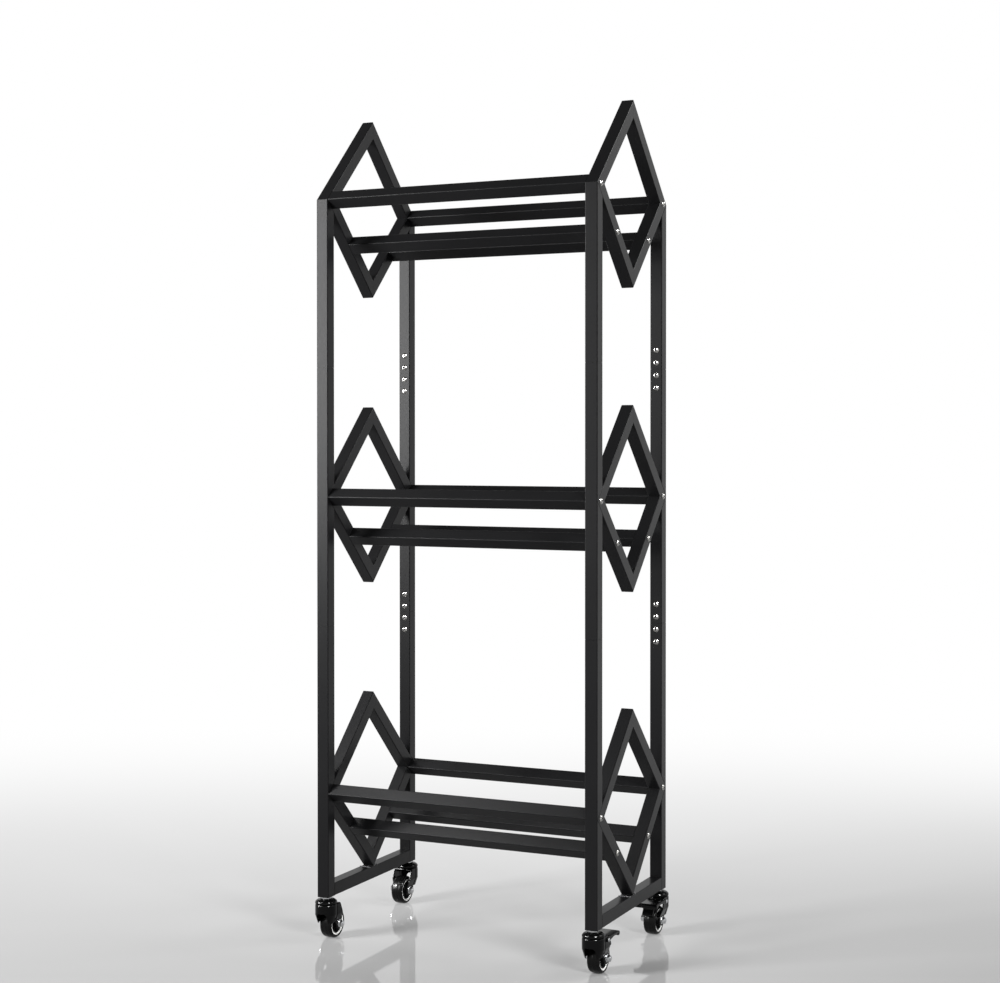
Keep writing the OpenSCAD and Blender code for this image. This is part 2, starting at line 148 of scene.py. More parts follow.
def noise(tree: NodeTree, place: NodeSocket, size_mm: float, detail: float,
          roughness: float = 0.5) -> NodeSocket:
    """Adds a noise with blobs of a size in millimetres and returns its value, 0 to 1."""
    return add_node(tree, "ShaderNodeTexNoise", {
        "Vector": place, "Scale": 1 / (size_mm * MM), "Detail": detail,
        "Roughness": roughness}).outputs["Fac"]


def ramp(tree: NodeTree, value: NodeSocket, source: Point, target: tuple[Term, Term],
         curve: str = "LINEAR") -> NodeSocket:
    """Adds a map from a source range to a target range and returns its result."""
    return add_node(tree, "ShaderNodeMapRange", {
        "Value": value, "From Min": source[0], "From Max": source[1], "To Min": target[0],
        "To Max": target[1]}, interpolation_type=curve).outputs["Result"]


def combined(tree: NodeTree, operation: str, one: Term, two: Term) -> NodeSocket:
    """Adds a math node for two terms and returns its result."""
    return add_node(tree, "ShaderNodeMath", {0: one, 1: two}, operation=operation).outputs[0]


@dataclass(frozen=True)
class Finish:
    """A finish of the rack: what the surface is made of and how it was made.

    The grain is the relief left by the process, with a coarser one over it where the real
    one is too fine to show. The clouding is the slow change of tone that keeps a large face
    from looking printed.
    """

    name: str
    colour: str
    clouded: str
    roughness: float
    grain_mm: float = 0.8
    grain_depth_mm: float = 0.02
    cloud_mm: float = 6.0
    metallic: float = 0.0
    ior: float = 1.5
    specular: float = 0.5
    coat: float = 0.0
    coat_roughness: float = 0.1
    roughness_spread: float = 0.06
    shown_grain_mm: float = 0.0

    def material(self) -> bpy.types.Material:
        """Returns the finish's material, built on its first use."""
        known = bpy.data.materials.get(self.name)
        if known is not None:
            return known
        material = bpy.data.materials.new(self.name)
        material.use_nodes = True
        material.node_tree.nodes.clear()
        self.build(material.node_tree)
        return material

    def build(self, tree: NodeTree) -> None:
        """Builds the node tree: clouding to colour, and grain to roughness and bump.

        Args:
            tree: The material's empty node tree.
        """
        place = add_node(tree, "ShaderNodeTexCoord").outputs["Object"]
        cloud = noise(tree, place, self.cloud_mm, detail=3.0)
        tone = add_node(tree, "ShaderNodeMix", {
            0: cloud, 6: srgb(self.colour), 7: srgb(self.clouded)}, data_type="RGBA")
        grain = self.grain(tree, place)
        spread = self.roughness_spread
        worn = ramp(tree, grain, (0.0, 1.0), (self.roughness - spread, self.roughness + spread))
        bump = add_node(tree, "ShaderNodeBump", {
            "Height": grain, "Distance": self.grain_depth_mm * MM, "Strength": 1.0})
        shader = add_node(tree, "ShaderNodeBsdfPrincipled", {
            "Base Color": tone.outputs[2], "Roughness": worn,
            "Normal": bump.outputs["Normal"], "Metallic": self.metallic,
            "IOR": self.ior, "Specular IOR Level": self.specular,
            "Coat Weight": self.coat, "Coat Roughness": self.coat_roughness})
        add_node(tree, "ShaderNodeOutputMaterial", {"Surface": shader.outputs["BSDF"]})

    def grain(self, tree: NodeTree, place: NodeSocket) -> NodeSocket:
        """Adds the relief of the surface.

        Args:
            tree: The material's node tree.
            place: The socket with the object coordinates.

        Returns:
            The socket with the relief, from 0 to 1.
        """
        fine = noise(tree, place, self.grain_mm, detail=2.0, roughness=0.55)
        if self.shown_grain_mm == 0:
            return fine
        shown = noise(tree, place, self.shown_grain_mm, detail=1.0)
        both = add_node(tree, "ShaderNodeMix", {0: 0.5, 2: fine, 3: shown}, data_type="FLOAT")
        return both.outputs[0]


@dataclass(frozen=True)
class PowderCoat(Finish):
    """Epoxy-polyester powder coat, sprayed dry on mild steel tube and baked.

    It gives the eye a dry, even black that spreads every highlight into a soft band. The
    real pebble is about 0.5 mm, too fine to show, so a second one is drawn at 2.4 mm.
    """

    name: str = "black_powder_coat"
    colour: str = "#131314"
    clouded: str = "#19191a"
    roughness: float = 0.33
    grain_mm: float = 0.5
    cloud_mm: float = 90.0
    specular: float = 0.1
    shown_grain_mm: float = 2.4


@dataclass(frozen=True)
class DippedEnamel(Finish):
    """Black gloss enamel, dipped and baked on deep drawn sheet steel.

    It gives the eye a near black that holds small, sharp, slightly wavy highlights.
    """

    name: str = "black_gloss_enamel"
    colour: str = "#040404"
    clouded: str = "#070708"
    roughness: float = 0.16
    grain_mm: float = 5.0
    grain_depth_mm: float = 0.03
    cloud_mm: float = 30.0
    specular: float = 0.08
    coat: float = 0.08
    coat_roughness: float = 0.06
    roughness_spread: float = 0.04


@dataclass(frozen=True)
class BrightZinc(Finish):
    """Bright zinc, electroplated on turned and headed steel.

    It gives the eye a cool silver with a faint bloom, less sharp than chrome.
    """

    name: str = "bright_zinc_plate"
    colour: str = "#cbccce"
    clouded: str = "#b4b5b6"
    roughness: float = 0.2
    grain_depth_mm: float = 0.008
    metallic: float = 1.0


@dataclass(frozen=True)
class BrightNickel(Finish):
    """Bright nickel over polished, cold headed steel screws.

    It gives the eye a hard, slightly warm mirror that picks the screws out of the black.
    """

    name: str = "bright_nickel_plate"
    colour: str = "#b6b5b2"
    clouded: str = "#a3a29f"
    roughness: float = 0.12
    grain_mm: float = 1.5
    grain_depth_mm: float = 0.006
    cloud_mm: float = 5.0
    metallic: float = 1.0
    roughness_spread: float = 0.03


@dataclass(frozen=True)
class SocketShadePaint(Finish):
    """Painted shade in a screw's hexagon socket: dull dark metal on the faces inside it.

    It gives the eye a dark grey that stands in for the recess's shade and draws the hexagon.
    """

    name: str = "punched_socket_steel"
    colour: str = "#2b2b2c"
    clouded: str = "#1c1c1d"
    roughness: float = 0.5
    grain_mm: float = 0.4
    grain_depth_mm: float = 0.01
    cloud_mm: float = 2.0
    metallic: float = 1.0


@dataclass(frozen=True)
class WeldHighlightPaint(Finish):
    """Arc weld bead under a thin, flowed powder coat.

    It gives the eye a satin grey line that is painted highlight; the real coat on it is black.
    """

    name: str = "coated_weld_bead"
    colour: str = "#58585a"
    clouded: str = "#6c6c6e"
    roughness: float = 0.45


@dataclass(frozen=True)
class MouldedPolypropylene(Finish):
    """Pale polypropylene, injection moulded as the wheel's rim.

    It gives the eye a clean, milky white ring with a broad soft sheen.
    """

    name: str = "pale_moulded_polypropylene"
    colour: str = "#f6f6f4"
    clouded: str = "#eeeeeb"
    roughness: float = 0.34
    grain_mm: float = 1.2
    grain_depth_mm: float = 0.01
    cloud_mm: float = 12.0


@dataclass(frozen=True)
class MouldedNylon(Finish):
    """Black glass filled nylon, injection moulded as the wheel's core.

    It gives the eye a dull, faintly greyed black with a fine etched grain.
    """

    name: str = "black_moulded_nylon"
    colour: str = "#0a0a0b"
    clouded: str = "#101011"
    roughness: float = 0.42
    grain_mm: float = 0.7
    cloud_mm: float = 9.0
    specular: float = 0.12


@dataclass(frozen=True)
class CastPolyurethane(Finish):
    """Black polyurethane, cast round the rim as the tread.

    It gives the eye a smooth, slightly waxy black, softer than the enamel above it.
    """

    name: str = "black_cast_polyurethane"
    colour: str = "#0a0a0a"
    clouded: str = "#101010"
    roughness: float = 0.24
    grain_mm: float = 2.2
    grain_depth_mm: float = 0.03
    cloud_mm: float = 14.0
    specular: float = 0.1


@dataclass(frozen=True)
class MillSteel(Finish):
    """Bare drawn steel of the plugs and foot inserts inside the tubes.

    It gives the eye a dull grey metal with dark mill scale in its clouding.
    """

    name: str = "drawn_mill_steel"
    colour: str = "#8f9092"
    clouded: str = "#6d6c6a"
    roughness: float = 0.42
    grain_mm: float = 0.6
    cloud_mm: float = 8.0
    metallic: float = 1.0


def mirrored(half: Sequence[tuple[float, ...]]) -> list[tuple[float, ...]]:
    """Joins half of an outline to its mirror image about height 0."""
    return [*half, *((radius, -height, *rest) for radius, height, *rest in reversed(half))]


def filleted(corners: Sequence[tuple[float, ...]]) -> list[Point]:
    """Rounds the corners of an outline.

    Args:
        corners: Points of the outline as (x, y) or (x, y, fillet radius).

    Returns:
        The outline's points, closed, with an arc at each corner that has a radius.
    """
    points: list[Point] = []
    count = len(corners)
    for i, corner in enumerate(corners):
        here = Vector(corner[:2])
        if len(corner) < 3 or corner[2] <= 0:
            points.append((here.x, here.y))
            continue
        back = (Vector(corners[i - 1][:2]) - here).normalized()
        ahead = (Vector(corners[(i + 1) % count][:2]) - here).normalized()
        half = back.angle(ahead) / 2
        centre = here + (back + ahead).normalized() * corner[2] / math.sin(half)
        reach = corner[2] / math.tan(half)
        start = here + back * reach - centre
        end = here + ahead * reach - centre
        sweep = start.angle(end)
        for step in range(FILLET_STEPS + 1):
            share = step / FILLET_STEPS
            turn = start * math.sin((1 - share) * sweep) + end * math.sin(share * sweep)
            spot = centre + turn / math.sin(sweep)
            points.append((spot.x, spot.y))
    return points


class Shape:
    """A mesh in the making. Outlines are in millimetres and the mesh is in metres."""

    def __init__(self) -> None:
        """Starts an empty mesh."""
        self.bm = bmesh.new()

    def revolve(self, outline: Profile | Callable[[float], Profile], steps: int,
                place: Matrix, closed: bool = True) -> "Shape":
        """Adds a solid of revolution, or one whose outline changes with the angle.

        Args:
            outline: (radius, height) points, or a function from the angle to them. A
                closed outline is a ring's section; an open one starts and ends on the axis.
            steps: Number of outlines round the axis.
            place: From the lathe's frame, with its axis along Z, to the rack's, in metres.
            closed: True if the outline's last point joins its first.

        Returns:
            This shape, so that calls can be chained.
        """
        rings = []
        for i in range(steps):
            angle = TURN * i / steps
            points = outline(angle) if callable(outline) else outline
            ring = []
            for radius, height in points:
                spot = Vector((radius * math.cos(angle), radius * math.sin(angle), height))
                ring.append(self.bm.verts.new(place @ (spot * MM)))
            rings.append(ring)
        count = len(rings[0])
        for i in range(steps):
            one, two = rings[i], rings[(i + 1) % steps]
            for j in range(count if closed else count - 1):
                k = (j + 1) % count
                self.bm.faces.new((one[j], two[j], two[k], one[k]))
        return self

    def prism(self, outline: Profile, low: float, high: float, bevel: float) -> "Shape":
        """Starts the mesh with an outline extruded along Z, its two rims bevelled.

        Args:
            outline: (x, y) points of the closed outline.
            low: Height of its lower face.
            high: Height of its upper face.
            bevel: Width of the bevel at both rims.

        Returns:
            This shape, so that calls can be chained.
        """
        base = [self.bm.verts.new((x * MM, y * MM, low * MM)) for x, y in outline]
        raised = bmesh.ops.extrude_face_region(self.bm, geom=[self.bm.faces.new(base)])
        top = [v for v in raised["geom"] if isinstance(v, bmesh.types.BMVert)]
        bmesh.ops.translate(self.bm, vec=(0, 0, (high - low) * MM), verts=top)
        rims = [e for e in self.bm.edges if e.verts[0].co.z == e.verts[1].co.z]
        bmesh.ops.bevel(self.bm, geom=rims, offset=bevel * MM, segments=2, profile=0.6,
                        affect="EDGES")
        return self

    def finished(self, name: str, finish: Finish) -> Object:
        """Closes the mesh and makes it an object of one finish.

        Args:
            name: The piece's name.
            finish: The finish of all its faces.

        Returns:
            The object, at the origin, with its place in its mesh.
        """
        bmesh.ops.remove_doubles(self.bm, verts=self.bm.verts, dist=MERGE * MM)
        bmesh.ops.recalc_face_normals(self.bm, faces=self.bm.faces)
        mesh = bpy.data.meshes.new(name)
        self.bm.to_mesh(mesh)
        self.bm.free()
        return wrapped(name, mesh, finish)


def linked(thing: Object) -> Object:
    """Links an object to the scene and returns it."""
    bpy.context.scene.collection.objects.link(thing)
    return thing


def wrapped(name: str, mesh: Mesh, finish: Finish | None, crease: float = CREASE) -> Object:
    """Makes a mesh an object, with smooth shading between its creases.

    Args:
        name: The piece's name.
        mesh: Its mesh, in the rack's frame.
        finish: The finish of all its faces, or None if the mesh has its materials.
        crease: Smallest angle in degrees that stays a sharp edge in the shading.

    Returns:
        The object, linked to the scene.
    """
    if finish is not None:
        mesh.materials.clear()
        mesh.materials.append(finish.material())
    mesh.polygons.foreach_set("use_smooth", [True] * len(mesh.polygons))
    mesh.set_sharp_from_angle(angle=math.radians(crease))
    mesh.name = name
    return linked(bpy.data.objects.new(name, mesh))


def modify(thing: Object, kind: str, **settings: object) -> None:
    """Adds a modifier to an object.

    Args:
        thing: The object.
        kind: The modifier's type, such as "SMOOTH".
        **settings: Its settings.
    """
    modifier = thing.modifiers.new(kind.lower(), kind)
    for name, value in settings.items():
        setattr(modifier, name, value)


def settled(piece: Object) -> Mesh:
    """Turns an object with live modifiers into a plain mesh, and removes the object.

    Args:
        piece: The object, which nothing else uses.

    Returns:
        The mesh that its modifiers give.
    """
    bpy.context.view_layer.update()
    graph = bpy.context.evaluated_depsgraph_get()
    mesh = bpy.data.meshes.new_from_object(piece.evaluated_get(graph), depsgraph=graph)
    bpy.data.objects.remove(piece)
    return mesh


def along(axis: str, centre: Vector) -> Matrix:
    """Gives the matrix to the rack's frame from a lathe at a place, along X, Y or Z."""
    aim = Vector([float(letter == axis) for letter in "XYZ"])
    return Matrix.Translation(centre) @ aim.to_track_quat("Z", "Y").to_matrix().to_4x4()


def hex_radius(angle: float, across: float) -> float:
    """Returns how far a hexagon's outline is from its centre at an angle in radians."""
    return across / 2 / math.cos((angle + TURN / 12) % (TURN / 6) - TURN / 12)


def chamfered_hex(across: float, low: float, high: float,
                  hole: float = 0.0) -> Callable[[float], Profile]:
    """Gives the outline of a nut or bolt head whose top corners are turned off.

    Args:
        across: Size across the flats.
        low: Height of the seat.
        high: Height of the top face.
        hole: Radius of its bore, or 0 for a solid head.

    Returns:
        A function from the angle to the outline, from the seat's middle to the top's.
    """
    top_r, slope = across / 2 * HEX_TOP, math.tan(math.radians(HEX_CHAMFER))

    def outline(angle: float) -> Profile:
        rim = hex_radius(angle, across)
        return [(hole, low), (rim - HEX_EDGE, low), (rim, low + HEX_EDGE),
                (rim, high - (rim - top_r) * slope), (top_r, high), (hole + HEX_SINK, high),
                (hole, high - HEX_SINK)]
    return outline


def geometry_tree(name: str, inputs: dict[str, str]) -> tuple[NodeTree, bpy.types.NodeOutputs]:
    """Starts a geometry node tree with named inputs.

    Args:
        name: The tree's name.
        inputs: Input names, each with its socket type.

    Returns:
        The tree, with a Geometry input first and a Geometry output, and its inputs' sockets.
    """
    tree = bpy.data.node_groups.new(name, "GeometryNodeTree")
    tree.interface.new_socket("Geometry", in_out="INPUT", socket_type="NodeSocketGeometry")
    for label, kind in inputs.items():
        tree.interface.new_socket(label, in_out="INPUT", socket_type=kind)
    tree.interface.new_socket("Geometry", in_out="OUTPUT", socket_type="NodeSocketGeometry")
    return tree, add_node(tree, "NodeGroupInput").outputs


def copies(tree: NodeTree, points: NodeSocket, thing: NodeSocket,
           turn: NodeSocket | tuple[float, ...] = (0.0, 0.0, 0.0)) -> NodeSocket:
    """Adds a copy of a thing on each point, and returns the copies."""
    return add_node(tree, "GeometryNodeInstanceOnPoints", {
        "Points": points, "Instance": thing, "Rotation": turn}).outputs["Instances"]


def close_tree(tree: NodeTree, geometry: NodeSocket, finish: NodeSocket,
               patches: dict[str, NodeSocket] | None = None) -> None:
    """Ends a geometry node tree in real, dressed meshes.

    Args:
        tree: The tree.
        geometry: The socket with its instances.
        finish: The socket with the material of the whole.
        patches: Names of face attributes, each with the material of its faces.
    """
    real = add_node(tree, "GeometryNodeRealizeInstances", {"Geometry": geometry})
    dressed = add_node(tree, "GeometryNodeSetMaterial", {
        "Geometry": real.outputs["Geometry"], "Material": finish})
    for name, material in (patches or {}).items():
        faces = add_node(tree, "GeometryNodeInputNamedAttribute", {"Name": name},
                         data_type="BOOLEAN")
        dressed = add_node(tree, "GeometryNodeSetMaterial", {
            "Geometry": dressed.outputs["Geometry"], "Selection": faces.outputs["Attribute"],
            "Material": material})
    add_node(tree, "NodeGroupOutput", {"Geometry": dressed.outputs["Geometry"]})


def grown(name: str, seed_mesh: Mesh, tree: NodeTree, values: dict[str, object]) -> Object:
    """Runs a geometry node tree on a mesh and keeps the result as a plain piece.

    Args:
        name: The piece's name.
        seed_mesh: The mesh that the tree starts from.
        tree: The tree, which sets the materials.
        values: Values of its inputs, by name.

    Returns:
        The piece.
    """
    seed = linked(bpy.data.objects.new(name + ".seed", seed_mesh))
    modifier = seed.modifiers.new("grow", "NODES")
    modifier.node_group = tree
    for item in tree.interface.items_tree:
        if item.item_type == "SOCKET" and item.in_out == "INPUT" and item.name in values:
            modifier[item.identifier] = values[item.name]
    return wrapped(name, settled(seed), None)


def aimed_points(spots: Iterable[tuple[Vector, Vector]]) -> Mesh:
    """Makes a cloud of points that each know which way they face.

    Args:
        spots: Places and directions in the rack's frame.

    Returns:
        A mesh of loose points with a vector attribute named aim.
    """
    spots = list(spots)
    mesh = bpy.data.meshes.new("points")
    mesh.from_pydata([tuple(place) for place, _ in spots], [], [])
    attribute = mesh.attributes.new("aim", "FLOAT_VECTOR", "POINT")
    attribute.data.foreach_set("vector", [x for _, aim in spots for x in aim])
    return mesh


class Light(Enum):
    """What a lamp lights: everything, only gloss, or only what is matt."""

    ALL = "all"
    GLOSS = "gloss"
    MATT = "matt"


@dataclass(frozen=True)
class Lamp:
    """A soft rectangular lamp behind a grid, with its places and sizes in metres.

    A lamp with words in its field "only" lights just the things with such a word in their
    name.
    """

    name: str
    place: tuple[float, float, float]
    target: tuple[float, float, float]
    size: Point
    watts: float
    spread: float = 120.0
    light: Light = Light.ALL
    only: tuple[str, ...] = ()

    def hang(self, floor: Object) -> None:
        """Hangs the lamp, and sees to it that the floor never mirrors it.

        Args:
            floor: The floor, which a twin without gloss lights, if the lamp isn't gloss alone.
        """
        chosen = [thing for thing in bpy.data.objects
                  if any(word in thing.name for word in self.only)]
        lamp = self.lit(self.name, chosen or [floor], "INCLUDE" if chosen else "EXCLUDE")
        lamp.visible_diffuse = self.light is not Light.GLOSS
        lamp.visible_glossy = self.light is not Light.MATT
        if self.light is not Light.GLOSS:
            self.lit(self.name + "_on_floor", [floor], "INCLUDE").visible_glossy = False

    def lit(self, name: str, things: Iterable[Object], state: str) -> Object:
        """Makes one lamp and turns it to what it faces.

        Args:
            name: Its name.
            things: The things that its light is linked to.
            state: Whether it lights these alone (INCLUDE) or all but these (EXCLUDE).

        Returns:
            The lamp.
        """
        data = bpy.data.lights.new(name, "AREA")
        data.spread = math.radians(self.spread)
        data.shape = "RECTANGLE"
        data.size, data.size_y = self.size
        data.energy = self.watts
        lamp = linked(bpy.data.objects.new(name, data))
        lamp.location = self.place
        aim = Vector(self.target) - Vector(self.place)
        lamp.rotation_euler = aim.to_track_quat("-Z", "Y").to_euler()
        lamp.visible_camera = False
        lights = bpy.data.collections.new(name + "_lights")
        for thing in things:
            lights.objects.link(thing)
        for link in lights.collection_objects:
            link.light_linking.link_state = state
        lamp.light_linking.receiver_collection = lights
        return lamp


# Words in the names of the small pieces that carry the photograph's glints.
GLINTING = ("_fork", "drawn_", "zinc_", "nickel_", "_axle_bolt", "_riveted_pin",
            "_cast_tread", "_rim_ring", "_nylon_core")


@dataclass
class Studio:
    """Plain pale floor, white surroundings, soft lamps and the photograph's camera."""

    eye: Vector = field(default_factory=lambda: Vector((1.35893, -2.79250, 0.86022)))
    yaw: float = 0.43243
    pitch: float = 0.01137
    focal_share: float = 1.78795
    shift: float = -0.03
    sensor_mm: float = 36.0
    far_clip: float = 60.0
    floor_radius: float = 9.0
    floor_steps: int = 96
    floor_grey: str = "#bababa"
    floor_roughness: float = 0.05
    floor_ior: float = 1.4
    floor_specular: float = 0.4
    white_behind: Point = (-0.235, 2.365)
    white_around: Point = (1.2, 3.4)
    white_curve: float = 1.7
    ambient: float = 0.14
    ceiling: float = 0.15
    wall_to_ceiling: Point = (0.27, 0.7)
    lamps: tuple[Lamp, ...] = (
        Lamp("left_wall", (-1.6, -1.95, 1.3), (0.0, 0.0, 1.1), (0.7, 1.3), 46.0),
        Lamp("key", (1.6, 1.0, 2.1), (0.2, 0.0, 1.3), (0.9, 0.9), 9.0, 90.0),
        Lamp("rail_sheen", (-1.2, -1.0, 2.3), (0.0, 0.0, 0.6), (0.4, 0.4), 12.0,
             light=Light.GLOSS),
        Lamp("right_fill", (2.9, -1.7, 1.2), (0.1, -0.2, 0.1), (0.8, 0.8), 10.0, 60.0,
             light=Light.MATT),
        Lamp("left_glint", (-1.8, -1.05, 1.1), (0.0, 0.0, 0.1), (0.5, 0.5), 100.0,
             light=Light.GLOSS, only=GLINTING),
        Lamp("right_glint", (1.35, -0.95, 2.1), (0.0, 0.0, 0.1), (0.5, 0.5), 140.0,
             light=Light.GLOSS, only=GLINTING + ("_pedal",)),
    )

    def build(self) -> None:
        """Builds the camera, the surroundings and the floor."""
        self.camera()
        self.surroundings()
        self.floor()

    def camera(self) -> None:
        """Makes the camera stand and look where the photograph's did."""
        data = bpy.data.cameras.new("camera")
        data.sensor_width = self.sensor_mm
        data.lens = self.sensor_mm * self.focal_share
        data.shift_x = self.shift
        data.shift_y = self.shift
        data.clip_end = self.far_clip
        camera = linked(bpy.data.objects.new("camera", data))
        camera.location = self.eye
        camera.rotation_euler = (math.pi / 2 - self.pitch, 0.0, self.yaw)
        bpy.context.scene.camera = camera
        bpy.context.scene.view_settings.view_transform = "Standard"

    def surroundings(self) -> None:
        """Makes walls that are white to the eye and in gloss, and a dim ceiling."""
        world = bpy.data.worlds.new("white_room")
        world.use_nodes = True
        tree = world.node_tree
        tree.nodes.clear()
        aim = add_node(tree, "ShaderNodeTexCoord").outputs["Generated"]
        rise = add_node(tree, "ShaderNodeSeparateXYZ", {"Vector": aim})
        wall = ramp(tree, rise.outputs["Z"], self.wall_to_ceiling, (1.0, self.ceiling),
                    "SMOOTHSTEP")
        strength = ramp(tree, seen(tree), (0.0, 1.0), (self.ambient, wall))
        light = add_node(tree, "ShaderNodeBackground", {
            "Color": srgb("#ffffff"), "Strength": strength})
        add_node(tree, "ShaderNodeOutputWorld", {"Surface": light.outputs["Background"]})
        bpy.context.scene.world = world

    def light(self) -> None:
        """Hangs the lamps, once the pieces are there that some of them light alone."""
        for lamp in self.lamps:
            lamp.hang(bpy.data.objects["floor"])

    def floor(self) -> None:
        """Makes a polished pale floor that fades to white away from the rack."""
        mesh = bpy.data.meshes.new("floor")
        shape = bmesh.new()
        bmesh.ops.create_circle(shape, cap_ends=True, segments=self.floor_steps,
                                radius=self.floor_radius)
        shape.to_mesh(mesh)
        shape.free()
        mesh.materials.append(self.floor_material())
        linked(bpy.data.objects.new("floor", mesh))

    def floor_material(self) -> bpy.types.Material:
        """Returns the floor's material: lacquered grey that turns white with distance."""
        material = bpy.data.materials.new("lacquered_studio_floor")
        material.use_nodes = True
        tree = material.node_tree
        tree.nodes.clear()
        place = add_node(tree, "ShaderNodeTexCoord").outputs["Object"]
        away = add_node(tree, "ShaderNodeVectorMath", {0: place}, operation="LENGTH")
        behind = add_node(tree, "ShaderNodeVectorMath", {
            0: place, 1: (-math.sin(self.yaw), math.cos(self.yaw), 0.0)},
            operation="DOT_PRODUCT")
        left = ramp(tree, behind.outputs["Value"], self.white_behind, (1.0, 0.0))
        near = ramp(tree, away.outputs["Value"], self.white_around, (1.0, 0.0), "SMOOTHSTEP")
        bent = combined(tree, "POWER", left, self.white_curve)
        lacquer = add_node(tree, "ShaderNodeBsdfPrincipled", {
            "Base Color": srgb(self.floor_grey), "Roughness": self.floor_roughness,
            "IOR": self.floor_ior, "Specular IOR Level": self.floor_specular})
        white = add_node(tree, "ShaderNodeEmission", {
            "Color": srgb("#ffffff"), "Strength": seen(tree)})
        both = add_node(tree, "ShaderNodeMixShader", {
            0: combined(tree, "MULTIPLY", bent, near), 1: white.outputs["Emission"],
            2: lacquer.outputs["BSDF"]})
        add_node(tree, "ShaderNodeOutputMaterial", {"Surface": both.outputs["Shader"]})
        return material


def seen(tree: NodeTree) -> NodeSocket:
    """Adds a value that is 1 for camera, glossy and transmission rays, and 0 for others.

    Args:
        tree: A material's or a world's node tree.

    Returns:
        The socket with the value.
    """
    path = add_node(tree, "ShaderNodeLightPath").outputs
    gloss = combined(tree, "MAXIMUM", path["Is Camera Ray"], path["Is Glossy Ray"])
    return combined(tree, "MAXIMUM", gloss, path["Is Transmission Ray"])


@dataclass
class TubeFrame:
    """The welded end frames, posts and rails, which keep their CAD solids."""

    coat: Finish = PowderCoat()
    inner: Finish = MillSteel()
    coated_words: tuple[str, ...] = ("_diamond", "_post", "_base_tube", "_rail", "_sleeves")
    inner_nodes: tuple[str, ...] = ("rail_nut_plugs", "post_foot_inserts")
    bead_r: float = 1.1
    bead_pitch: float = 1.5
    bead_out: float = 12.4
    bead_segments: int = 16
    bead_rings: int = 10

    def dress(self) -> None:
        """Gives every tube its powder coat and every hidden plug its bare steel."""
        for name, node in frame["nodes"].items():
            if name.endswith(self.coated_words):
                dress_node(node, self.coat)
            elif name in self.inner_nodes:
                dress_node(node, self.inner)

    def bead_tree(self) -> NodeTree:
        """Builds the tree that lays a weld's overlapping drops along each edge."""
        tree, given = geometry_tree("weld_beads", {
            "Radius": "NodeSocketFloat", "Pitch": "NodeSocketFloat",
            "Finish": "NodeSocketMaterial"})
        line = add_node(tree, "GeometryNodeMeshToCurve", {"Mesh": given["Geometry"]})
        spots = add_node(tree, "GeometryNodeCurveToPoints", {
            "Curve": line.outputs["Curve"], "Length": given["Pitch"]}, mode="LENGTH")
        drop = add_node(tree, "GeometryNodeMeshUVSphere", {
            "Segments": self.bead_segments, "Rings": self.bead_rings,
            "Radius": given["Radius"]})
        drops = copies(tree, spots.outputs["Points"], drop.outputs["Mesh"])
        close_tree(tree, drops, given["Finish"])
        return tree

    def weld(self) -> None:
        """Lays the welds where the bottom diamonds stand on their base tubes."""
        mesh = bpy.data.meshes.new("weld_lines")
        ends = []
        for side in Side:
            low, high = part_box(f"{side.name}_bottom_diamond".lower())
            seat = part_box(f"{side.name}_base_tube".lower())[1].z
            for row in Row:
                y = (low.y + high.y) / 2 + row.value * self.bead_out * MM
                ends += [(low.x + self.bead_r * MM, y, seat), (high.x - self.bead_r * MM, y, seat)]
        mesh.from_pydata(ends, [(i, i + 1) for i in range(0, len(ends), 2)], [])
        # The beads' grey is painted highlight along the weld, not a colour of the coat.
        piece = grown("diamond_foot_welds", mesh, self.bead_tree(), {
            "Radius": self.bead_r * MM, "Pitch": self.bead_pitch * MM,
            "Finish": WeldHighlightPaint().material()})
        put_on(piece, "left_base_tube")


def dress_node(node: Object, finish: Finish) -> None:
    """Gives a CAD node its finish and leaves its mesh alone.

    Args:
        node: The CAD node's object.
        finish: The finish of the whole node.
    """
    if not node.material_slots:
        node.data.materials.append(None)
    for slot in node.material_slots:
        slot.link = "OBJECT"
        slot.material = finish.material()
    LOG.info("dressed %s in %s", node.name, finish.name)


